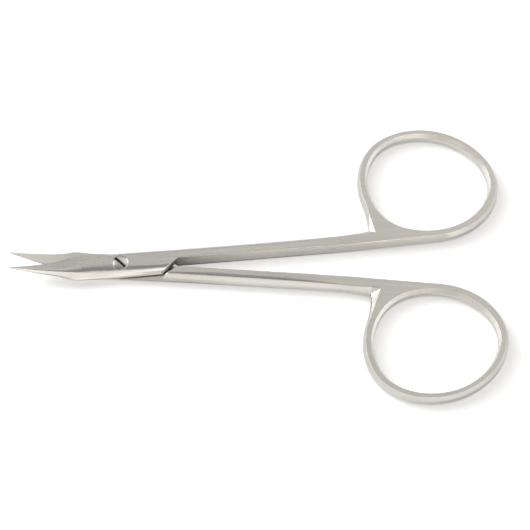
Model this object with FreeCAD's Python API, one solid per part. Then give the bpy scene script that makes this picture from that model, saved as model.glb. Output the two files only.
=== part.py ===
import FreeCAD, Part
import math
import os

os.makedirs("parts", exist_ok=True)

# Suture scissors: two forged halves that cross at a slotted pivot screw.
# All sizes are in millimetres. Each half is shaped in the closed position,
# with X along the midline (tips at minus X) and the pivot axis through the
# origin, and is then turned open to the position in which it rests.

# Lengths along the midline, measured from the pivot
tip_reach = 21.85
shoulder_reach = 9.7
taper_start = 13.9
shank_end = 44.0
ring_centre_x = 63.4

# Opening of the rest position: each half is turned by this many degrees
rest_turn = 4.55

# Heights: half the joint is the height of one half there
half_height = 1.7
ring_half_height = 1.55
ride_gap = 0.03

# Blade: the outline tapers, the tip curves up out of the plane
tip_half_width = 0.09
taper_half_width = 1.33
shoulder_half_width = 2.45
blade_flat_reach = 3.0
blade_curve_radius = 60.0
edge_land_share = 0.2
back_land_share = 0.35
ridge_ease_share = 0.3
root_edge_ease = 0.03

# Easing of the edges: how much shorter the curve is at the upright sides, and
# how much farther the belt rolls the near edge over onto the flat
side_ease_share = 0.35
flat_ease_share = 1.7

# Bar that both halves form together when closed
joint_half_width = 2.72
shank_half_width = 2.58
shank_gap = 0.1

# Sections of the blade: share of the way back from the tip to the first
# section of the joint, height of the ridge over the ride face, and how far
# the ridge lies off the middle
blade_stations = [
    (-0.05, 0.26, 0.0),
    (0.22, 0.55, 0.2),
    (0.5, 0.85, 0.47),
    (0.78, 1.15, 0.75),
]

# Sections of the joint and the shank: place along the midline, the far and
# the near side of it, and the easing of the edges. Each side is given as
# narrowing of the bar, half width of the flat, how far the flat lies below
# the forged height, and height of the upright side.
joint_stations = [
    (-9.6, (0.25, 1.55, 0.93, 0.4), (0.25, 0.8, 0.42, 0.25), 0.5),
    (-6.8, (0.17, 1.85, 0.45, 0.48), (0.17, 0.9, 0.18, 0.25), 0.75),
    (-3.2, (0.06, 2.0, 0.13, 0.45), (0.06, 1.3, 0.0, 0.28), 0.85),
    (0.5, (0.0, 2.0, 0.0, 0.4), (0.0, 1.65, 0.0, 0.3), 0.85),
    (4.5, (0.04, 1.95, 0.0, 0.4), (0.04, 1.9, 0.0, 0.3), 0.8),
    (8.5, (0.12, 1.9, 0.0, 0.45), (0.12, 1.95, 0.0, 0.3), 0.7),
]
shank_stations = [
    (13.0, (0.0, 1.8, 0.0, 0.5), (0.0, 1.45, 0.0, 0.32), 0.85),
    (24.0, (0.0, 1.8, 0.075, 0.52), (0.0, 1.75, 0.0, 0.45), 0.7),
    (35.0, (0.0, 1.85, 0.135, 0.58), (0.0, 1.85, 0.0, 0.5), 0.5),
]
# The bar is forged a little too high here and then ground to a true plane
grinding_stock = 0.03
grinding_start = -7.5

# Step behind the pivot, where each half changes from one layer to both
step_corner_x = 8.3
step_corner_y = 2.65
step_inner_x = 11.5
step_gap = 0.12

# Finger ring and the web that joins it to the shank
ring_bevel_width = 0.5
ring_bevel_depth = 0.9
ring_outer_low = 13.25
ring_open_radii = [12.2, 11.1, 11.15, 12.4, 12.15, 11.9, 11.15, 11.8]
ring_band_widths = [2.0, 1.75, 1.8, 1.9, 2.05, 2.0, 2.1, 2.15]
web_corner_x = 50.3
web_corner_y = 3.25
web_join_share = 0.27
web_overlap = 0.9
flare_share = 0.33
corner_bevel_width = 1.15
upper_facet_width = 1.15
lower_facet_width = 1.85
inner_bevel_start = 45.5

# Pivot screw and its seat
screw_head_radius = 1.45
screw_head_height = 0.85
screw_head_proud = 0.18
screw_neck_radius = 1.0
screw_thread_radius = 0.85
screw_slot_width = 0.55
screw_slot_depth = 0.6
screw_slot_turn = -45.0
screw_dome_sag = 0.2
screw_end_setback = 0.04
neck_clearance = 0.03
head_clearance = 0.06
seat_clearance = 0.02
thread_clearance = 0.01

# Size of the blocks that only serve to cut, and spare stock under a layer
reach_over = 1.5 * (tip_reach + ring_centre_x)
side_over = 0.1 * reach_over
layer_base = 0.6
# How far an outline or a cut runs on past the corner where it stops mattering
run_on = 2.0
facet_run_on = 0.5


def point(x, y, z=0.0):
    return FreeCAD.Vector(x, y, z)


def polygon_block(corners, low, high):
    """An upright block over a plan outline given by its corners."""
    points = [point(x, y, low) for x, y in corners]
    points.append(points[0])
    face = Part.Face(Part.makePolygon(points))
    return face.extrude(point(0, 0, high - low))


def rise(reach):
    """Height of the curved-up blade above the joint plane at a reach."""
    beyond = max(0.0, reach - blade_flat_reach)
    return blade_curve_radius - math.sqrt(blade_curve_radius ** 2 - beyond ** 2)


def taper_slope():
    return (taper_half_width - tip_half_width) / (tip_reach - taper_start)


def shoulder_arc_angle():
    """Direction of the shoulder arc at its wide end, from the tangent rule."""
    run = taper_start - shoulder_reach
    climb = shoulder_half_width - taper_half_width
    return 2.0 * math.atan2(climb, run) - math.atan(taper_slope())


def blade_half_width(reach):
    """Half width of the blade between the tip and the shoulder."""
    if reach >= taper_start:
        return tip_half_width + (tip_reach - reach) * taper_slope()
    start = math.atan(taper_slope())
    end = shoulder_arc_angle()
    run = taper_start - shoulder_reach
    share = (taper_start - reach) / run
    angle = start + (end - start) * share / 2.0
    return taper_half_width + (taper_start - reach) * math.tan(angle)


def eased_points(x, corners, softness):
    """Points of one closed section at X. Every corner becomes the start, the
    corner itself and the end of a short easing curve. softness gives the two
    arms of that curve for every corner, or one number for both."""
    count = len(corners)
    spots = [point(x, y, z) for y, z in corners]
    groups = []
    for i in range(count):
        before = spots[i - 1] - spots[i]
        after = spots[(i + 1) % count] - spots[i]
        arms = softness[i] if isinstance(softness[i], tuple) else (softness[i],) * 2
        start = min(arms[0], 0.45 * before.Length)
        end = min(arms[1], 0.45 * after.Length)
        before.normalize()
        after.normalize()
        groups.append([spots[i] + before * start, spots[i], spots[i] + after * end])
    return groups


def rail(spots):
    """A smooth curve through the same spot of every section."""
    curve = Part.BSplineCurve()
    curve.interpolate(Points=spots, Parameters=[spot.x for spot in spots])
    return curve


def strip(rails):
    """The face between two rails, or the eased face over three."""
    base = rails[0]
    across = len(rails) - 1
    columns = [one.getPoles() for one in rails]
    poles = [[column[i] for column in columns] for i in range(len(columns[0]))]
    surface = Part.BSplineSurface()
    surface.buildFromPolesMultsKnots(poles, base.getMultiplicities(),
                                     [across + 1, across + 1], base.getKnots(),
                                     [0.0, 1.0], False, False, 3, across)
    return surface.toShape()


def end_face(groups):
    edges = []
    for i in range(len(groups)):
        curve = Part.BezierCurve()
        curve.setPoles(groups[i])
        edges.append(curve.toShape())
        edges.append(Part.makeLine(groups[i][2], groups[(i + 1) % len(groups)][0]))
    return Part.Face(Part.Wire(edges))


def skinned_solid(sections):
    """A solid through sections given as (x, corners, softness)."""
    stations = [eased_points(*section) for section in sections]
    count = len(stations[0])
    rails = [[rail([station[i][j] for station in stations]) for j in range(3)]
             for i in range(count)]
    faces = [end_face(stations[0]), end_face(stations[-1])]
    for i in range(count):
        faces.append(strip(rails[i]))
        faces.append(strip([rails[i][2], rails[(i + 1) % count][0]]))
    shell = Part.makeShell(faces)
    shell.sewShape()
    solid = Part.Solid(Part.Shell(shell.Faces))
    if solid.Volume < 0:
        solid.reverse()
    return solid


def bar_section(x, far, near, ease, lift=0.0):
    """Section of the upper layer of the bar, with a plain flat underside.
    far and near are (half width, flat half width, height of the flat,
    height of the upright side)."""
    w1, a1, t1, k1 = far
    w2, a2, t2, k2 = near
    base = lift - layer_base
    corners = [(w1, base), (w1, lift + k1), (a1, lift + t1),
               (-a2, lift + t2), (-w2, lift + k2), (-w2, base)]
    side_ease = ease * side_ease_share
    roll = (ease * flat_ease_share, ease)
    softness = [0.02, side_ease, ease, roll, side_ease, 0.02]
    return (x, corners, softness)


def blade_section(reach, ridge_height, ridge_offset, lift):
    """Section of the blade: a ridge with a facet to the cutting edge on one
    side and a steeper one to the back on the other."""
    half = blade_half_width(min(reach, tip_reach))
    edge_land = edge_land_share * ridge_height
    back_land = back_land_share * ridge_height
    spare = 0.3 * half + 0.05
    back_spare = 0.1
    slope = (ridge_height - edge_land) / (half + ridge_offset)
    back_slope = (ridge_height - back_land) / (half - ridge_offset)
    outer = half + spare
    inner = 0.6 * half
    back = half + back_spare
    facet_far = edge_land + slope * (half - inner)
    facet_end = max(0.02, edge_land - slope * spare)
    back_end = max(0.02, back_land - back_slope * back_spare)
    far = (outer, inner, facet_far, facet_end)
    near = (back, ridge_offset, ridge_height, back_end)
    return bar_section(-reach, far, near, ridge_ease_share * ridge_height, lift)


def forged_section(x, half_width, far, near, ease, lift=0.0):
    """Section of the joint or the shank from one line of its table."""
    sides = []
    for narrowing, flat, drop, upright in [far, near]:
        level = half_height + grinding_stock - drop
        sides.append((half_width - narrowing, flat, level, upright))
    return bar_section(x, sides[0], sides[1], ease, lift)


def forged_bar(bend):
    """The long bar of one half, from the tip to the end of the shank.
    bend is 1 where the blade curves away from its mate, -1 towards it."""
    top = ring_half_height
    wall = top - ring_bevel_depth
    side = shank_half_width
    sections = []
    root_reach = -joint_stations[0][0]
    for share, ridge, offset in blade_stations:
        reach = tip_reach - share * (tip_reach - root_reach)
        sections.append(blade_section(reach, ridge, offset, bend * rise(reach)))
    for x, far, near, ease in joint_stations:
        lift = bend * rise(-x)
        sections.append(forged_section(x, joint_half_width, far, near, ease, lift))
    for x, far, near, ease in shank_stations:
        sections.append(forged_section(x, side, far, near, ease))
    flat = side - ring_bevel_width
    sections.append(bar_section(shank_end, (side, flat, top, wall),
                                (side, flat, top, wall), root_edge_ease))
    ground_off = Part.makeBox(reach_over, reach_over, reach_over,
                              point(grinding_start, -reach_over / 2.0, half_height))
    return skinned_solid(sections).cut(ground_off)


def blade_outline_block():
    """Plan outline that gives the blade its taper and its shoulder."""
    run = taper_start - shoulder_reach
    start = math.atan(taper_slope())
    end = shoulder_arc_angle()
    middle_x = -(taper_start - run / 2.0)
    middle_y = blade_half_width(taper_start - run / 2.0)
    past_x = -shoulder_reach + run_on
    past_y = shoulder_half_width + run_on * math.tan(end + (end - start) / 4.0)
    tip_top = point(-tip_reach, tip_half_width)
    taper_top = point(-taper_start, taper_half_width)
    middle_top = point(middle_x, middle_y)
    past_top = point(past_x, past_y)
    tip_low = point(-tip_reach, -tip_half_width)
    taper_low = point(-taper_start, -taper_half_width)
    middle_low = point(middle_x, -middle_y)
    past_low = point(past_x, -past_y)
    far_top = point(reach_over, past_y)
    far_low = point(reach_over, -past_y)
    nose = point(-tip_reach - tip_half_width, 0)
    edges = [Part.makeLine(tip_top, taper_top),
             Part.Arc(taper_top, middle_top, past_top).toShape(),
             Part.makeLine(past_top, far_top),
             Part.makeLine(far_top, far_low),
             Part.makeLine(far_low, past_low),
             Part.Arc(past_low, middle_low, taper_low).toShape(),
             Part.makeLine(taper_low, tip_low),
             Part.Arc(tip_low, nose, tip_top).toShape()]
    face = Part.Face(Part.Wire(edges))
    face.translate(point(0, 0, -side_over))
    return face.extrude(point(0, 0, 2.0 * side_over))


def step_run():
    """Change of X per unit of Y along the slanted step."""
    return (step_inner_x - step_corner_x) / (step_corner_y + shank_gap)


def own_layer_block():
    """Plan region of a half in its own layer: blade, joint and shank."""
    run = step_run()
    low_y = -side_over
    low_x = step_inner_x + (low_y - shank_gap) * run
    over = reach_over
    corners = [(-over, low_y), (low_x, low_y), (step_inner_x, shank_gap),
               (over, shank_gap), (over, over), (-over, over)]
    return polygon_block(corners, -over, over)


def shared_block():
    """Plan region where a half fills both layers: only the shank behind the
    step, which stays clear of the slanted end of the mate's joint plate."""
    run = step_run()
    start_x = step_inner_x + step_gap * math.sqrt(1.0 + run * run)
    top_y = side_over
    top_x = start_x - (top_y + shank_gap) * run
    low_x = start_x - 2.0 * shank_gap * run
    corners = [(low_x, shank_gap), (reach_over, shank_gap),
               (reach_over, reach_over), (top_x, reach_over), (top_x, top_y)]
    return polygon_block(corners, 0.0, reach_over)


def mate_space(bend):
    """All the space on the mate's side of the ride face. It is flat at the
    joint and behind it, and curves with the blades ahead of it."""
    reach = tip_reach + run_on
    flat = blade_flat_reach
    middle = (flat + reach) / 2.0
    low = -side_over
    inner = point(0, 0, ride_gap)
    flat_end = point(flat, 0, ride_gap)
    bow = point(middle, 0, ride_gap + bend * rise(middle))
    outer = point(reach, 0, ride_gap + bend * rise(reach))
    edges = [Part.makeLine(point(0, 0, low), inner),
             Part.makeLine(inner, flat_end),
             Part.Arc(flat_end, bow, outer).toShape(),
             Part.makeLine(outer, point(reach, 0, low)),
             Part.makeLine(point(reach, 0, low), point(0, 0, low))]
    face = Part.Face(Part.Wire(edges))
    dish = face.revolve(point(0, 0, 0), point(0, 0, 1), 360)
    side = reach_over / 2.0
    ahead = Part.makeBox(reach_over, reach_over, reach_over,
                         point(-reach_over, -side, -side))
    behind = Part.makeBox(reach_over, reach_over, side + ride_gap,
                          point(0, -side, -side))
    return dish.common(ahead).fuse(behind)


def bar_of_half(bend):
    """Blade, joint plate and shank of one half, cut from its forged bar."""
    layer = forged_bar(bend).common(blade_outline_block())
    own = layer.common(own_layer_block()).cut(mate_space(bend))
    shared = layer.common(shared_block())
    mirrored = shared.mirror(point(0, 0, 0), point(0, 0, 1))
    return own.fuse([shared, mirrored])


def ring_centre_y():
    return shank_gap + ring_outer_low


def ring_outer_radii():
    outer = [a + b for a, b in zip(ring_open_radii, ring_band_widths)]
    outer[6] = ring_outer_low
    return outer


def ring_edge(radii, inset, level):
    """Closed smooth curve through eight radii, counted from plus X."""
    spots = []
    for i in range(8):
        angle = math.radians(45.0 * i)
        reach = radii[i] + inset
        spots.append(point(ring_centre_x + reach * math.cos(angle),
                           ring_centre_y() + reach * math.sin(angle), level))
    curve = Part.BSplineCurve()
    curve.interpolate(Points=spots, PeriodicFlag=True)
    return curve.toShape()


def ring_band():
    """The finger ring: a band with both rims bevelled above and below."""
    top = ring_half_height
    wall = top - ring_bevel_depth
    outer = ring_outer_radii()
    rims = [ring_edge(ring_open_radii, 0, -wall),
            ring_edge(ring_open_radii, 0, wall),
            ring_edge(ring_open_radii, ring_bevel_width, top),
            ring_edge(outer, -ring_bevel_width, top),
            ring_edge(outer, 0, wall),
            ring_edge(outer, 0, -wall),
            ring_edge(outer, -ring_bevel_width, -top),
            ring_edge(ring_open_radii, ring_bevel_width, -top)]
    faces = []
    for i in range(8):
        faces.append(Part.makeRuledSurface(rims[i], rims[(i + 1) % 8]))
    shell = Part.makeShell(faces)
    shell.sewShape()
    solid = Part.Solid(Part.Shell(shell.Faces))
    if solid.Volume < 0:
        solid.reverse()
    return solid


def flare_half_width(x):
    """Outer edge of the shank where it spreads towards the web corner."""
    share = (x - shank_end) / (web_corner_x - shank_end)
    spread = web_corner_y - shank_half_width
    return shank_half_width + spread * (flare_share * share
                                        + (1.0 - flare_share) * share * share)


def flare_slope():
    """Slope of that edge where it arrives at the web corner."""
    spread = web_corner_y - shank_half_width
    return spread * (2.0 - flare_share) / (web_corner_x - shank_end)


def shank_root():
    """The last of the shank, spreading until it meets the web corner."""
    top = ring_half_height
    wall = top - ring_bevel_depth
    sections = []
    for share in [0.0, 0.3, 0.65, 1.0]:
        x = shank_end + share * (web_corner_x - shank_end)
        side = flare_half_width(x)
        spread = corner_bevel_width - ring_bevel_width
        flat = side - ring_bevel_width - spread * share ** 3
        corners = [(side, -wall), (side, wall), (flat, top), (shank_gap, top),
                   (shank_gap, -top), (flat, -top)]
        sections.append((x, corners, [0.018, 0.018, 0.03, 0.01, 0.01, 0.03]))
    return skinned_solid(sections)


def web_side():
    """The hollow outer side of the web: an arc that leaves the ring along the
    ring's own outline and ends at the corner with the shank. Gives the place
    where it leaves the ring, its centre and its radius."""
    outline = ring_edge(ring_outer_radii(), 0, 0)
    knots = outline.Curve.getKnots()
    place = knots[4] + web_join_share * (knots[5] - knots[4])
    join = outline.valueAt(place)
    along = outline.tangentAt(place)
    outward = point(along.y, -along.x)
    chord = point(web_corner_x, web_corner_y) - join
    radius = chord.dot(chord) / (2.0 * chord.dot(outward))
    return join, join + outward * radius, radius


def above_shank_bevel(facet_width):
    """All the space above the bevel of the shank, carried on straight past
    the web corner. Only what lies in it is bevelled off the web."""
    low = ring_half_height - 2.0 * ring_bevel_depth
    high = ring_half_height + ring_bevel_depth
    profile = [(web_corner_y + corner_bevel_width, low),
               (web_corner_y - 2.0 * corner_bevel_width, high),
               (ring_centre_y(), high),
               (ring_centre_y(), low)]
    spots = [point(web_corner_x, y, z) for y, z in profile]
    face = Part.Face(Part.makePolygon(spots + [spots[0]]))
    along = point(facet_width, facet_width * flare_slope())
    face.translate(along * -1.0)
    return face.extrude(along * 4.0)


def web_bevels(facet_width):
    """Blocks that bevel the outer side of the web: the plain bevel of the
    ring and a wider facet that opens towards the corner with the shank."""
    top = ring_half_height
    wall = top - ring_bevel_depth
    join, centre, radius = web_side()
    plain = Part.makeCone(radius, radius + 2.0 * ring_bevel_width,
                          2.0 * ring_bevel_depth, point(centre.x, centre.y, wall))
    low_corner = point(web_corner_x, web_corner_y, wall)
    wide_corner = point(web_corner_x + facet_width,
                        web_corner_y - corner_bevel_width
                        + facet_width * flare_slope(), top)
    inward = join - centre
    inward.normalize()
    fade = point(join.x, join.y, top) + inward * ring_bevel_width
    across = wide_corner - low_corner
    along = fade - wide_corner
    out = across.cross(along)
    out.normalize()
    spots = [low_corner - across * facet_run_on - along * facet_run_on,
             wide_corner + across * facet_run_on - along * facet_run_on,
             fade + across * facet_run_on, fade - across]
    face = Part.Face(Part.makePolygon(spots + [spots[0]]))
    wide = face.extrude(out * (2.0 * top))
    allowed = above_shank_bevel(facet_width)
    return [plain.common(allowed), wide.common(allowed)]


def web_plate(facet_width):
    """Flat web between the shank and the ring."""
    top = ring_half_height
    join, centre, radius = web_side()
    centre_y = ring_centre_y()
    inside = web_overlap
    corners = [(web_corner_x, web_corner_y), (web_corner_x, shank_gap),
               (ring_centre_x, shank_gap),
               (ring_centre_x, shank_gap + web_overlap),
               (ring_centre_x - inside, centre_y), (join.x + inside, centre_y),
               (join.x, join.y)]
    spots = [point(x, y, -top) for x, y in corners]
    edges = [Part.makeLine(spots[i], spots[i + 1]) for i in range(len(spots) - 1)]
    half_way = (spots[-1] + spots[0]) * 0.5
    ray = half_way - point(centre.x, centre.y, -top)
    ray.normalize()
    middle = point(centre.x, centre.y, -top) + ray * radius
    edges.append(Part.Arc(spots[-1], middle, spots[0]).toShape())
    plate = Part.Face(Part.Wire(edges)).extrude(point(0, 0, 2.0 * top))
    hole_rim = ring_edge(ring_open_radii, web_overlap, -top)
    hole = Part.Face(Part.Wire([hole_rim])).extrude(point(0, 0, 2.0 * top))
    plate = plate.cut(hole)
    for block in web_bevels(facet_width):
        plate = plate.cut([block, block.mirror(point(0, 0, 0), point(0, 0, 1))])
    return plate


def inner_bevel():
    """Wedge that opens the bevel of the ring's outer rim slowly out of the
    plain inner wall of the shank."""
    top = ring_half_height
    start = point(inner_bevel_start, shank_gap, top)
    flat = point(ring_centre_x, shank_gap + ring_bevel_width, top)
    deep = point(ring_centre_x, shank_gap, top - ring_bevel_depth)
    edge = point(ring_centre_x, shank_gap, top)
    faces = []
    for trio in [(start, flat, deep), (start, edge, flat), (start, deep, edge),
                 (edge, deep, flat)]:
        faces.append(Part.Face(Part.makePolygon([trio[0], trio[1], trio[2],
                                                 trio[0]])))
    solid = Part.Solid(Part.Shell(faces))
    if solid.Volume < 0:
        solid.reverse()
    return solid


def handle_end(facet_width):
    """Shank root, web and finger ring of one half."""
    wedge = inner_bevel()
    body = shank_root().fuse(web_plate(facet_width))
    body = body.cut([wedge, wedge.mirror(point(0, 0, 0), point(0, 0, 1))])
    return body.fuse(ring_band())


def round_bar(radius, low, high):
    return Part.makeCylinder(radius, high - low, point(0, 0, low))


def head_seat_level():
    return half_height + screw_head_proud - screw_head_height


def upper_half():
    """The half whose blade lies on top. It turns on the neck of the screw."""
    half = bar_of_half(1).fuse(handle_end(upper_facet_width))
    bore = round_bar(screw_neck_radius + neck_clearance, -side_over, side_over)
    seat = round_bar(screw_head_radius + head_clearance,
                     head_seat_level() - seat_clearance, side_over)
    half = half.cut([bore, seat])
    half.rotate(point(0, 0, 0), point(0, 0, 1), rest_turn)
    half.translate(point(0, 0, half_height))
    return half


def lower_half():
    """The mate: the same forging turned over, its blade bent the same way."""
    half = bar_of_half(-1).fuse(handle_end(lower_facet_width))
    thread = round_bar(screw_thread_radius + thread_clearance, -side_over, side_over)
    half = half.cut(thread)
    half.rotate(point(0, 0, 0), point(1, 0, 0), 180)
    half.rotate(point(0, 0, 0), point(0, 0, 1), -rest_turn)
    half.translate(point(0, 0, half_height))
    return half


def pivot_screw():
    """Slotted screw: low domed head, plain neck and threaded end."""
    top = half_height + screw_head_proud
    head = round_bar(screw_head_radius, head_seat_level(), top)
    dome_radius = (screw_head_radius ** 2 + screw_dome_sag ** 2) / (2 * screw_dome_sag)
    dome = Part.makeSphere(dome_radius, point(0, 0, top - dome_radius))
    head = head.common(dome)
    neck = round_bar(screw_neck_radius, -ride_gap, head_seat_level())
    thread = round_bar(screw_thread_radius, -half_height + screw_end_setback,
                       -ride_gap)
    screw = head.fuse([neck, thread])
    slot = Part.makeBox(4.0 * screw_head_radius, screw_slot_width, side_over,
                        point(-2.0 * screw_head_radius, -screw_slot_width / 2.0,
                              top - screw_slot_depth))
    slot.rotate(point(0, 0, 0), point(0, 0, 1), screw_slot_turn)
    screw = screw.cut(slot)
    screw.translate(point(0, 0, half_height))
    return screw


for name, maker in [("upper_half", upper_half), ("lower_half", lower_half),
                    ("pivot_screw", pivot_screw)]:
    shape = maker()
    solid = shape.Solids[0]
    box = solid.optimalBoundingBox(True, False)
    print(name, "solids", len(shape.Solids), "valid", solid.isValid(),
          "volume", round(solid.Volume, 2))
    print("   x", round(box.XMin, 2), round(box.XMax, 2),
          "y", round(box.YMin, 2), round(box.YMax, 2),
          "z", round(box.ZMin, 2), round(box.ZMax, 2))
    solid.exportStep("parts/" + name + ".step")
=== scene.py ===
# %% [markdown]
# # Suture scissors in satin steel
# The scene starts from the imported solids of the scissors. They are the fixed frame: two forged
# halves and the pivot screw, at their real size in metres, lying on z = 0 with the pivot axis
# through the origin. Everything that is made below is placed in that same frame.

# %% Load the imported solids
import math
import bmesh
import bpy
from mathutils import Matrix, Vector


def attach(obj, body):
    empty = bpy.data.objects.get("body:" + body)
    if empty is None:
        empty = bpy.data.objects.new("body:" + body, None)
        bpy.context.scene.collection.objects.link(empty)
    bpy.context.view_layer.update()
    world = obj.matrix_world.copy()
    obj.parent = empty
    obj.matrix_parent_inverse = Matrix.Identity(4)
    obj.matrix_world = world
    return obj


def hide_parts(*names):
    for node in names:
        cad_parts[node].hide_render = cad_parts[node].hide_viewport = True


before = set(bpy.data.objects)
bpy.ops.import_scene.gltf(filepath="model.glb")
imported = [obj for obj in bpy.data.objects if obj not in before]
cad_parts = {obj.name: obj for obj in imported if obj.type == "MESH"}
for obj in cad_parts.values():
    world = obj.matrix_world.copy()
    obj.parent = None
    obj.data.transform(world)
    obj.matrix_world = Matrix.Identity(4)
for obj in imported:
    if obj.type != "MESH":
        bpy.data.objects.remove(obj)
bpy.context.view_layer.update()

scene = bpy.context.scene
MM = 0.001

# %% [markdown]
# ## How the scissors lie
# The pair lies open: each half is turned about the pivot, away from the line midway between them.
# The scratches, the ribs and the light inside the rings all follow the shanks and the rings. So
# their places are given as on the closed pair, where both halves run along X, and a small
# helper turns them open with their half.

# %% Rest position
rest_turn = math.radians(4.55)
ring_centre = Vector((63.4, 13.35, 0.0)) * MM
half_sides = {"upper": 1, "lower": -1}


def opened(side):
    """Turn from the closed pair to the open one. The upper half is side 1, its mate side -1."""
    return Matrix.Rotation(side * rest_turn, 4, "Z")


def ring_middle(side):
    """Centre of a ring on the closed pair."""
    return Vector((ring_centre.x, side * ring_centre.y, 0.0))


print("the shanks stand open by", round(math.degrees(2 * rest_turn), 2), "degrees")

# %% [markdown]
# ## The camera
# The scissors are seen from the front at 60 degrees above the table, from nearly half a metre, so
# the far ring looks only a little smaller than the near one. A long lens gives that view. The
# camera is turned by less than a degree about its own axis, as the scissors lie slightly askew.

# %% Camera
look_at = Vector((28.9, 0.0, 1.7)) * MM
camera_height_angle = math.radians(60.0)
camera_distance = 455.0 * MM
camera_roll = math.radians(0.65)
lens_length = 154.53
sensor_width = 36.0


def aimed(place, target, roll=0.0):
    """Matrix that stands at place and looks at target, with Y as the upward side."""
    turn = (target - place).to_track_quat("-Z", "Y").to_matrix().to_4x4()
    return Matrix.Translation(place) @ turn @ Matrix.Rotation(roll, 4, "Z")


camera_data = bpy.data.cameras.new("camera")
camera_data.sensor_width = sensor_width
camera_data.lens = lens_length
camera_data.clip_start = 0.01
camera_data.clip_end = 20.0
camera = bpy.data.objects.new("camera", camera_data)
back = Vector((0.0, -math.cos(camera_height_angle), math.sin(camera_height_angle)))
camera.matrix_world = aimed(look_at + back * camera_distance, look_at, -camera_roll)
scene.collection.objects.link(camera)
scene.camera = camera
scene.view_settings.view_transform = "Standard"
print("camera stands at", [round(v, 4) for v in camera.location])

# %% [markdown]
# ## Node helpers
# Every finish and the light are built from nodes. One helper adds a node of any kind and sets or
# links its inputs. The others put a plain word on the few nodes that come up again and again: a
# colour ramp, a sum, a range that is stretched onto another, a blend and a noise.

# %% Helper for any node


def add(tree, kind, values=None, **settings):
    """Add a node, set its properties and then its inputs. An input may be a socket to link."""
    node = tree.nodes.new(kind)
    for name, value in settings.items():
        setattr(node, name, value)
    for key, value in (values or {}).items():
        socket = node.inputs[key]
        if isinstance(value, bpy.types.NodeSocket):
            tree.links.new(value, socket)
        else:
            socket.default_value = value
    return node


# %% Helpers for the nodes that come up often


def ramp(tree, factor, stops, interpolation="EASE"):
    """Colour ramp with (place, colour) stops. A single number stands for a grey."""
    node = add(tree, "ShaderNodeValToRGB", {"Fac": factor})
    band = node.color_ramp
    band.interpolation = interpolation
    while len(band.elements) < len(stops):
        band.elements.new(0.5)
    for element, (place, colour) in zip(band.elements, stops):
        element.position = place
        if isinstance(colour, (int, float)):
            colour = (colour, colour, colour)
        element.color = (*colour, 1.0)
    return node.outputs["Color"]


def maths(tree, operation, first, second=0.0, third=0.0):
    """One step of arithmetic with numbers or sockets."""
    node = add(tree, "ShaderNodeMath", {0: first, 1: second, 2: third}, operation=operation)
    return node.outputs[0]


def vector_maths(tree, operation, values, output="Vector"):
    """One step of arithmetic with places or directions."""
    return add(tree, "ShaderNodeVectorMath", values, operation=operation).outputs[output]


def stretched(tree, value, start, end, low=0.0, high=1.0):
    """Low where value is start, high where it is end, straight between, and held beyond."""
    node = add(tree, "ShaderNodeMapRange", {"Value": value, "From Min": start, "From Max": end,
                                            "To Min": low, "To Max": high})
    return node.outputs[0]


def blended(tree, share, first, second):
    """A number that goes from first to second as share goes from 0 to 1."""
    return add(tree, "ShaderNodeMix", {0: share, 2: first, 3: second}).outputs[0]


def painted(tree, share, under, over, how="MIX"):
    """A colour laid over another."""
    node = add(tree, "ShaderNodeMix", {0: share, 6: under, 7: over}, data_type="RGBA", blend_type=how)
    return node.outputs[2]


def noise(tree, place, detail, roughness=0.5, scale=1.0):
    """Cloudy numbers between 0 and 1, mostly near the middle."""
    node = add(tree, "ShaderNodeTexNoise", {"Vector": place, "Scale": scale, "Detail": detail,
                                            "Roughness": roughness})
    return node.outputs["Fac"]


def new_finish(name):
    """A material with an empty node tree. Returns both."""
    material = bpy.data.materials.new(name)
    material.use_nodes = True
    material.node_tree.nodes.clear()
    return material, material.node_tree


def surfaced(tree, shader):
    """Make the shader the surface of the material."""
    add(tree, "ShaderNodeOutputMaterial", {"Surface": shader.outputs[0]})


# %% [markdown]
# ## The light
# Polished steel has hardly any colour of its own: what it shows is the room. A product table has
# white paper that comes up in front, and a dark gap overhead where the camera looks in. The world
# below paints that as a ramp over the angle from the front edge of the table (0) over the
# top (0.5) to its rear edge (1). The flats mirror the part at two thirds. The bevels that face the
# camera mirror the white front. The rolled edges between them pass the gap, and that draws
# the dark line along each bevel.

# %% The room from front to back
world = bpy.data.worlds.new("light_table")
scene.world = world
world.use_nodes = True
tree = world.node_tree
tree.nodes.clear()
direction = add(tree, "ShaderNodeTexCoord").outputs["Generated"]
parts = add(tree, "ShaderNodeSeparateXYZ", {0: direction}).outputs
forward = maths(tree, "MULTIPLY", parts["Y"], -1.0)
height = maths(tree, "MAXIMUM", parts["Z"], 0.0)
turn = maths(tree, "DIVIDE", maths(tree, "ARCTAN2", height, forward), math.pi)
white_front = (1.0, 0.975, 0.94)
upper_front = (0.9, 0.877, 0.846)
dark_gap = [(0.36, 0.3), (0.42, 0.18), (0.54, 0.22)]
rear_wall = [(0.62, (0.42, 0.41, 0.395)), (0.68, (0.55, 0.538, 0.513)),
             (0.78, (0.5, 0.49, 0.47)), (1.0, 0.42)]
room_stops = [(0.0, white_front), (0.12, white_front), (0.19, upper_front), (0.32, upper_front),
              *dark_gap, *rear_wall]
room = ramp(tree, turn, room_stops)
print("stops from front to back:", len(room_stops))

# %% [markdown]
# The room isn't even from left to right either. Its front falls off to the left, so the bevel of
# the near shank, which leans that way, is greyer than the bevels of the joint and the blade. Its
# rear gets lighter towards the right, and the flats near the rings follow that.

# %% The room from left to right
front_range = (0.66, 1.2)
rear_range = (0.87, 1.38)
front_light = stretched(tree, parts["X"], -0.15, 0.05, *front_range)
rear_light = stretched(tree, parts["X"], -0.08, 0.3, *rear_range)
in_front = stretched(tree, turn, 0.4, 0.3)
across = blended(tree, in_front, rear_light, front_light)
room = vector_maths(tree, "SCALE", {0: room, "Scale": across})
print("light from left to right: front", front_range, "rear", rear_range)

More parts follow.
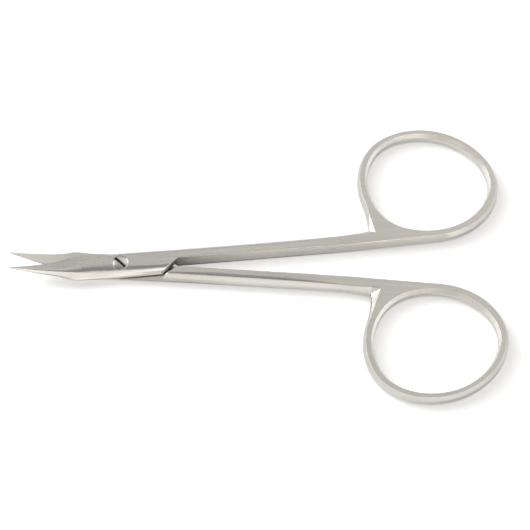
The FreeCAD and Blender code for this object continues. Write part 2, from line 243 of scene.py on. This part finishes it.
# %% [markdown]
# A white card stands at the left, and the corners and the ring walls that look that way mirror
# it. In its upper part is the round face of a lamp, several times brighter than white, which gives
# the web corners their glint. Both are painted over the ramp. A patch in the world is softer
# at its rim than a lamp would be, so the thin glints on the edges stay smooth.

# %% White card and glint
glint_toward = Vector((-0.74, 0.36, 0.57)).normalized()
card_white = (1.0, 0.985, 0.96, 1.0)
glint_white = (4.5, 4.45, 4.35, 1.0)
glint_rim = 0.93
glint_face = 0.98
sideways = stretched(tree, parts["X"], -0.45, -0.75)
below_top = stretched(tree, parts["Z"], 0.75, 0.55)
room = painted(tree, maths(tree, "MULTIPLY", sideways, below_top), room, card_white)
to_glint = vector_maths(tree, "DOT_PRODUCT", {0: direction, 1: glint_toward}, "Value")
room = painted(tree, stretched(tree, to_glint, glint_rim, glint_face), room, glint_white)
print("glint reaches", round(math.degrees(math.acos(glint_rim))), "degrees from its middle")

# %% [markdown]
# The camera sees plain white behind the table. What the paper gets from the room is held to
# about half of what the steel mirrors, so that the lamp in the next cell throws the shadows.

# %% World output
room_strength = 1.17
less_on_paper = -0.55
ray = add(tree, "ShaderNodeLightPath").outputs
strength = maths(tree, "MULTIPLY_ADD", ray["Is Diffuse Ray"], less_on_paper, room_strength)
room_light = add(tree, "ShaderNodeBackground", {"Color": room, "Strength": strength})
plain_white = add(tree, "ShaderNodeBackground", {"Color": (1, 1, 1, 1), "Strength": 1.0})
seen = add(tree, "ShaderNodeMixShader", {0: ray["Is Camera Ray"], 1: room_light.outputs[0],
                                         2: plain_white.outputs[0]})
add(tree, "ShaderNodeOutputWorld", {"Surface": seen.outputs[0]})
print("world nodes:", len(tree.nodes))

# %% [markdown]
# One large lamp stands high over the scissors, to the left and a little behind. It lights the
# paper and throws the short soft shadows to the lower right. The steel doesn't mirror it, because
# the glint in the world stands for it there. A weak second lamp from the front right keeps the
# dark sides readable.

# %% Lamps


def soft_lamp(name, toward, distance, size, power, colour):
    """A round lamp that stands in the direction toward from the scissors and looks at them."""
    lamp = bpy.data.lights.new(name, "AREA")
    lamp.shape = "DISK"
    lamp.size = size
    lamp.energy = power
    lamp.color = colour
    holder = bpy.data.objects.new(name, lamp)
    place = look_at + Vector(toward).normalized() * distance
    holder.matrix_world = aimed(place, look_at)
    holder.visible_camera = False
    scene.collection.objects.link(holder)
    return holder


key_lamp = soft_lamp("key_lamp", toward=(-0.44, 0.32, 0.84), distance=0.7, size=0.5, power=1.6,
                     colour=(1.0, 0.99, 0.97))
key_lamp.visible_glossy = False
fill_lamp = soft_lamp("fill_lamp", toward=(0.55, -0.7, 0.45), distance=0.8, size=0.6, power=0.3,
                      colour=(1.0, 0.98, 0.95))
print("lamps:", key_lamp.name, fill_lamp.name)

# %% [markdown]
# ## The paper
# The scissors lie on a sheet of white paper, three metres square, that runs out of view on all
# sides. It is a single face, a hair below the lowest point of the steel.

# %% Paper sheet
half_side = 1.5
paper_level = -0.05 * MM
paper_mesh = bpy.data.meshes.new("paper")
paper_mesh.from_pydata([(-half_side, -half_side, paper_level), (half_side, -half_side, paper_level),
                        (half_side, half_side, paper_level), (-half_side, half_side, paper_level)],
                       [], [(0, 1, 2, 3)])
paper_sheet = bpy.data.objects.new("paper", paper_mesh)
scene.collection.objects.link(paper_sheet)
print("paper is", 2 * half_side, "m wide at z =", paper_level)

# %% [markdown]
# How bright the steel mirrors the paper depends on where it looks. Close by, the scissors
# keep light off the sheet, so it is a little greyer there and the narrow gaps between the halves
# stay dark. The rest is a painted reflection: for reflected rays only, the paper glows, more far
# off, beside the shanks and in the middle of each ring, and the bevels pick that painted glow up.

# %% What the steel sees of the paper
glow_far_off = 0.65
glow_beside_shanks = 0.2
glow_in_rings = 0.6
white_paper, tree = new_finish("white_paper")
ray = add(tree, "ShaderNodeLightPath").outputs
mirrored = maths(tree, "MAXIMUM", ray["Is Glossy Ray"], ray["Is Transmission Ray"])
spot = add(tree, "ShaderNodeTexCoord").outputs["Object"]
spot_x = add(tree, "ShaderNodeSeparateXYZ", {0: spot}).outputs["X"]
from_middle = vector_maths(tree, "DISTANCE", {0: spot, 1: look_at}, "Value")
# painted reflection: a glow on the paper that only the steel's reflections see
outer_glow = stretched(tree, from_middle, 60 * MM, 150 * MM, 0.0, glow_far_off)
shank_glow = stretched(tree, spot_x, 12 * MM, 28 * MM, 0.0, glow_beside_shanks)
painted_mirror_glow = maths(tree, "MAXIMUM", outer_glow, shank_glow)
for side in half_sides.values():
    opening = opened(side) @ ring_middle(side)
    from_opening = vector_maths(tree, "DISTANCE", {0: spot, 1: opening}, "Value")
    inner_glow = stretched(tree, from_opening, 7.5 * MM, 10.5 * MM, glow_in_rings, 0.0)
    painted_mirror_glow = maths(tree, "MAXIMUM", painted_mirror_glow, inner_glow)
    print("ring opening at", [round(v / MM, 1) for v in opening], "mm")

# %% [markdown]
# On a product shot the paper is overexposed. So the camera sees it with some light of its own
# added, which makes it plain white and keeps the shadows of the scissors pale.

# %% White paper
paper_white = 0.95
less_mirrored = -0.2
camera_glow = 0.4
# for reflected rays the paper is also painted a little greyer
whiteness = maths(tree, "MULTIPLY_ADD", mirrored, less_mirrored, paper_white)
matt = add(tree, "ShaderNodeBsdfDiffuse", {"Color": whiteness})
strength = maths(tree, "MULTIPLY_ADD", ray["Is Camera Ray"], camera_glow,
                 maths(tree, "MULTIPLY", mirrored, painted_mirror_glow))
glow = add(tree, "ShaderNodeEmission", {"Color": (1, 1, 1, 1), "Strength": strength})
surfaced(tree, add(tree, "ShaderNodeAddShader", {0: matt.outputs[0], 1: glow.outputs[0]}))
paper_mesh.materials.append(white_paper)
print("paper nodes:", len(tree.nodes))

# %% [markdown]
# ## Satin steel
# The halves are ground lengthwise on a belt and then brushed, so the steel is neither matt nor a
# mirror. Fine scratches run along each shank, with broader bands among them. Other scratches run
# round the rings. Stretched noise makes them all: long along the grain and short across it. Round a
# ring the noise is read in angle and distance from the ring's centre, which bends the
# scratches with it. The rings are polished finer, so their scratches count for less.

# %% Scratches of the grinding belt
scratch_scale = (70.0, 6000.0, 6000.0)
band_scale = (35.0, 900.0, 900.0)
cloud_scale = 70.0
scales_round_ring = 3.0
scales_across_ring = 3000.0
ring_contrast = 0.16
ring_reach = 15.0 * MM
ring_fade = 17.5 * MM


def shank_place(tree, side):
    """Object coordinates turned back to the closed pair, where the shank runs along X."""
    place = add(tree, "ShaderNodeTexCoord").outputs["Object"]
    return add(tree, "ShaderNodeMapping", {"Vector": place, "Rotation": (0, 0, -side * rest_turn)},
               vector_type="POINT").outputs[0]


def shank_grain(tree, along, scale, detail, roughness):
    """Noise that is drawn out along the shank."""
    place = add(tree, "ShaderNodeMapping", {"Vector": along, "Scale": scale}).outputs[0]
    return noise(tree, place, detail, roughness)


def ring_grain(tree, along, side):
    """Noise that runs round the ring, and a share that is 1 on the ring."""
    from_centre = vector_maths(tree, "SUBTRACT", {0: along, 1: ring_middle(side)})
    xyz = add(tree, "ShaderNodeSeparateXYZ", {0: from_centre}).outputs
    angle = maths(tree, "ARCTAN2", xyz["Y"], xyz["X"])
    radius = vector_maths(tree, "LENGTH", {0: from_centre}, "Value")
    around = add(tree, "ShaderNodeCombineXYZ",
                 {0: maths(tree, "MULTIPLY", angle, scales_round_ring),
                  1: maths(tree, "MULTIPLY", radius, scales_across_ring),
                  2: maths(tree, "MULTIPLY", xyz["Z"], scales_across_ring)}).outputs[0]
    calm = maths(tree, "MULTIPLY_ADD", noise(tree, around, 3.0, 0.6), ring_contrast,
                 0.5 - ring_contrast / 2)
    return calm, stretched(tree, radius, ring_fade, ring_reach)


# %% [markdown]
# No edge on forged and ground steel is sharp. The belt rolls the long edges of the joint and the
# shanks over by a quarter of a millimetre, the rings much less. A bevel look-up rounds
# the normal there, and where it turns it, the steel is rubbed a little brighter. The narrow
# gaps of the joint get painted shade: the less open a spot is, the darker its colour is painted.

# %% Edges and gaps
rolled_edge = 0.26 * MM
ring_edge = 0.05 * MM
gap_reach = 0.8 * MM
painted_gap_shade = (0.14, 0.125, 0.11)
cosine_at_start = 0.985
cosine_at_full = 0.85


def rounded_edges(tree, on_ring):
    """A normal that is rounded at the edges, and a mask that is 1 where it leans most."""
    true_normal = add(tree, "ShaderNodeNewGeometry").outputs["Normal"]
    width = blended(tree, on_ring, rolled_edge, ring_edge)
    rounded = add(tree, "ShaderNodeBevel", {"Radius": width}, samples=8).outputs[0]
    cosine = vector_maths(tree, "DOT_PRODUCT", {0: rounded, 1: true_normal}, "Value")
    return rounded, stretched(tree, cosine, cosine_at_start, cosine_at_full)


def with_gap_shade(tree, colour):
    """The colour with painted shade in the gaps."""
    open_share = add(tree, "ShaderNodeAmbientOcclusion", {"Distance": gap_reach}, samples=8).outputs["AO"]
    # painted shade: the colour darkens where the spot is closed in
    gap_shade = ramp(tree, open_share, [(0.52, painted_gap_shade), (0.86, 1.0)], "LINEAR")
    return painted(tree, 1.0, colour, gap_shade, "MULTIPLY")


# %% [markdown]
# The finish puts these together. Steel of this kind is slightly warm. The bands and some slow
# clouds make it duller in places. The scratches set the roughness, with the edges and
# the rings smoother, and they give the normal a faint ripple.

# %% Satin steel
bright_steel = (0.83, 0.812, 0.768)
dulled_steel = tuple(share * 0.93 for share in bright_steel)
rubbed_edge = (0.9, 0.89, 0.86, 1.0)
edge_share = 0.5
smoothest = 0.2
roughest = 0.3
bands_rougher = 0.06
edges_smoother = -0.08
rings_smoother = -0.06
ripple_depth = 0.012 * MM


def satin_steel(name, side):
    """Ground and brushed steel for the half on the given side."""
    material, tree = new_finish(name)
    along = shank_place(tree, side)
    scratches = shank_grain(tree, along, scratch_scale, 3.0, 0.6)
    bands = shank_grain(tree, along, band_scale, 2.0, 0.5)
    clouds = noise(tree, along, 2.0, scale=cloud_scale)
    ring_scratches, on_ring = ring_grain(tree, along, side)
    grain = blended(tree, on_ring, scratches, ring_scratches)
    rounded, edge = rounded_edges(tree, on_ring)

    worn = maths(tree, "MULTIPLY_ADD", bands, 0.6, maths(tree, "MULTIPLY", clouds, 0.4))
    colour = ramp(tree, worn, [(0.36, dulled_steel), (0.62, bright_steel)], "LINEAR")
    colour = painted(tree, maths(tree, "MULTIPLY", edge, edge_share), colour, rubbed_edge)

    rough = stretched(tree, grain, 0.3, 0.7, smoothest, roughest)
    rough = maths(tree, "MULTIPLY_ADD", bands, bands_rougher, rough)
    rough = maths(tree, "MULTIPLY_ADD", edge, edges_smoother, rough)
    rough = maths(tree, "MULTIPLY_ADD", on_ring, rings_smoother, rough)
    ripple = add(tree, "ShaderNodeBump", {"Strength": 0.03, "Distance": ripple_depth,
                                          "Height": grain, "Normal": rounded}).outputs[0]
    surfaced(tree, add(tree, "ShaderNodeBsdfPrincipled",
                       {"Base Color": with_gap_shade(tree, colour), "Metallic": 1.0, "Roughness": rough,
                        "Normal": ripple}))
    return material


for body, side in half_sides.items():
    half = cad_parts[body + "_half"]
    half.data.materials.clear()
    half.data.materials.append(satin_steel(body + "_half_satin", side))
    print(body, "half has", len(half.data.polygons), "faces")

# %% [markdown]
# ## The pivot screw
# The screw is turned from bar: its head has fine rings and a rounded rim. The slot is sawn, and
# its inside is painted dark for the shade that falls in it. So it needs two finishes: turned steel,
# with noise that depends only on the distance from the axis, and rough steel painted dark with
# shade, with a little speckle. The second one also goes on the milled ribs further down, for the shade
# between them.

# %% Steel of the screw and the slot
turned_tint = (0.84, 0.825, 0.79, 1.0)
painted_shade_dark = (0.07, 0.066, 0.06)
painted_shade_light = (0.16, 0.153, 0.14)
groove_depth = 0.01 * MM


def shade_dark_steel(name):
    """Rough steel painted dark for the shade in the slot or between the ribs."""
    material, tree = new_finish(name)
    place = add(tree, "ShaderNodeTexCoord").outputs["Object"]
    speckle = noise(tree, place, 2.0, scale=4000.0)
    # painted shade: these dark colours stand for the shade in the slot and between the ribs
    colour = ramp(tree, speckle, [(0.35, painted_shade_dark), (0.7, painted_shade_light)], "LINEAR")
    surfaced(tree, add(tree, "ShaderNodeBsdfPrincipled", {"Base Color": colour, "Metallic": 1.0,
                                                          "Roughness": 0.5}))
    return material


def turned_steel():
    """Fine turned steel with rings about the screw's axis."""
    material, tree = new_finish("turned_steel")
    place = add(tree, "ShaderNodeTexCoord").outputs["Object"]
    xyz = add(tree, "ShaderNodeSeparateXYZ", {0: place}).outputs
    level = add(tree, "ShaderNodeCombineXYZ", {0: xyz["X"], 1: xyz["Y"]}).outputs[0]
    radius = vector_maths(tree, "LENGTH", {0: level}, "Value")
    outward = add(tree, "ShaderNodeCombineXYZ", {0: radius}).outputs[0]
    rings = noise(tree, outward, 2.0, scale=9000.0)
    rough = stretched(tree, rings, 0.0, 1.0, 0.14, 0.3)
    grooves = add(tree, "ShaderNodeBump", {"Strength": 0.25, "Distance": groove_depth,
                                           "Height": rings}).outputs[0]
    surfaced(tree, add(tree, "ShaderNodeBsdfPrincipled",
                       {"Base Color": turned_tint, "Metallic": 1.0,
                        "Roughness": rough, "Normal": grooves}))
    return material


# %% [markdown]
# The shape starts from the imported screw. Its loose triangles are merged into one closed skin
# and flat ones are joined, because only a closed skin can be rounded. The faces inside the slot
# are marked for the steel painted dark with shade. Each edge gets a share of the rounding: all of
# it at the rim of the head, less at the slot, where the saw leaves a crisp edge.

# %% Skin of the screw
slot_turn = math.radians(-45.0)
slot_width = 0.55 * MM
head_low = 2.9 * MM
rim_radius = 1.3 * MM
slot_share = 0.3
edge_angle = math.radians(28.0)
flat_angle = math.radians(0.5)
merge_distance = 0.001 * MM
slot_half_reach = 1.02 * slot_width / 2
across_slot = Vector((-math.sin(slot_turn), math.cos(slot_turn), 0.0))

skin = bmesh.new()
skin.from_mesh(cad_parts["pivot_screw"].data)
bmesh.ops.remove_doubles(skin, verts=skin.verts, dist=merge_distance)
bmesh.ops.dissolve_limit(skin, angle_limit=flat_angle, verts=skin.verts, edges=skin.edges)
for face in skin.faces:
    middle = face.calc_center_median()
    in_slot = abs(middle.dot(across_slot)) < slot_half_reach and middle.z > head_low
    face.material_index = 1 if in_slot else 0
    face.smooth = True
rounding_share = skin.edges.layers.float.new("bevel_weight_edge")
for edge in skin.edges:
    if edge.calc_face_angle(0.0) > edge_angle:
        at_rim = all(corner.co.xy.length > rim_radius and corner.co.z > head_low
                     for corner in edge.verts)
        edge[rounding_share] = 1.0 if at_rim else slot_share
screw_mesh = bpy.data.meshes.new("screw")
skin.to_mesh(screw_mesh)
skin.free()
print("screw faces:", len(screw_mesh.polygons))

# %% [markdown]
# A Bevel modifier then rounds the edges by those shares. It keeps the wide faces flat to the
# eye, as it hardens their normals. The finished screw stays with the lower half, into which the
# real one is threaded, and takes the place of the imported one.

# %% Finished screw
rim_rounding = 0.16 * MM
screw_mesh.materials.append(turned_steel())
# the slot's finish is painted dark for the shade inside it
screw_mesh.materials.append(shade_dark_steel("slot_steel"))
screw_mesh.set_sharp_from_angle(angle=edge_angle)
screw = bpy.data.objects.new("screw", screw_mesh)
scene.collection.objects.link(screw)
rounding = screw.modifiers.new("rounding", "BEVEL")
rounding.width = rim_rounding
rounding.segments = 4
rounding.limit_method = "WEIGHT"
rounding.harden_normals = True
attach(screw, "lower")
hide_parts("pivot_screw")
print("rim is rounded by", round(rim_rounding / MM, 2), "mm")

# %% [markdown]
# ## Milling ribs at the step
# The slanted end of each joint plate is cut with a small mill that leaves a row of upright ribs.
# They repeat at one pitch along a straight line, so Geometry Nodes make them: points on a line
# and a thin round rib on each, half sunk into the end wall.

# %% Tree for the ribs


def rib_tree():
    """Upright ribs on a line. Inputs: start, end, count, radius, height and material."""
    group = bpy.data.node_groups.new("upright_ribs", "GeometryNodeTree")
    sockets = [("Start", "NodeSocketVector"), ("End", "NodeSocketVector"), ("Count", "NodeSocketInt"),
               ("Radius", "NodeSocketFloat"), ("Height", "NodeSocketFloat"),
               ("Finish", "NodeSocketMaterial")]
    for name, kind in sockets:
        group.interface.new_socket(name, in_out="INPUT", socket_type=kind)
    group.interface.new_socket("Geometry", in_out="OUTPUT", socket_type="NodeSocketGeometry")
    given = add(group, "NodeGroupInput").outputs
    line = add(group, "GeometryNodeMeshLine", {"Count": given["Count"], "Start Location": given["Start"],
                                               "Offset": given["End"]}, mode="END_POINTS")
    rod = add(group, "GeometryNodeMeshCylinder", {"Vertices": 16, "Radius": given["Radius"],
                                                  "Depth": given["Height"]})
    row = add(group, "GeometryNodeInstanceOnPoints", {"Points": line.outputs[0],
                                                      "Instance": rod.outputs["Mesh"]})
    solid = add(group, "GeometryNodeRealizeInstances", {0: row.outputs[0]})
    shaded = add(group, "GeometryNodeSetShadeSmooth", {0: solid.outputs[0]})
    finished = add(group, "GeometryNodeSetMaterial", {0: shaded.outputs[0], "Material": given["Finish"]})
    add(group, "NodeGroupOutput", {0: finished.outputs[0]})
    return group


# %% [markdown]
# A modifier with that tree sits on an empty mesh, and its inputs are set before it first runs.
# What it makes is then kept as a plain mesh and the modifier goes, so that the ribs are an
# ordinary piece like any other.

# %% Helper that runs a tree


def grown(name, group, values):
    """Run a geometry tree on an empty mesh and bake the result into a plain mesh object."""
    seed = bpy.data.objects.new(name, bpy.data.meshes.new(name))
    scene.collection.objects.link(seed)
    grower = seed.modifiers.new("grow", "NODES")
    grower.node_group = group
    for item in group.interface.items_tree:
        if item.in_out == "INPUT" and item.name in values:
            grower[item.identifier] = values[item.name]
    bpy.context.view_layer.update()
    depsgraph = bpy.context.evaluated_depsgraph_get()
    baked = bpy.data.meshes.new_from_object(seed.evaluated_get(depsgraph))
    seed.modifiers.clear()
    seed.data = baked
    return seed


# %% [markdown]
# The row is placed on the closed pair, on the upper half. The mate is the same forging turned
# over about the long axis, at the level of the joint, and its ribs are turned over with it. Each
# row then turns open with its half and rides on it.

# %% Milling ribs
rib_start = Vector((9.75, -1.38, 0.86)) * MM
rib_end = Vector((11.2, -0.16, 0.86)) * MM
rib_height = 1.36 * MM
rib_radius = 0.065 * MM
rib_count = 7
joint_level = Vector((0.0, 0.0, 1.7)) * MM

rib_sizes = {"Start": rib_start, "End": rib_end, "Count": rib_count, "Radius": rib_radius,
             # the ribs take the same finish painted dark with shade
             "Height": rib_height, "Finish": shade_dark_steel("rib_steel")}
ribs = rib_tree()
for body, side in half_sides.items():
    turned_over = Matrix.Rotation(0.0 if side == 1 else math.pi, 4, "X")
    row = grown(body + "_ribs", ribs, rib_sizes)
    row.data.transform(Matrix.Translation(joint_level) @ opened(side) @ turned_over)
    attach(row, body)
    print(row.name, "faces", len(row.data.polygons))
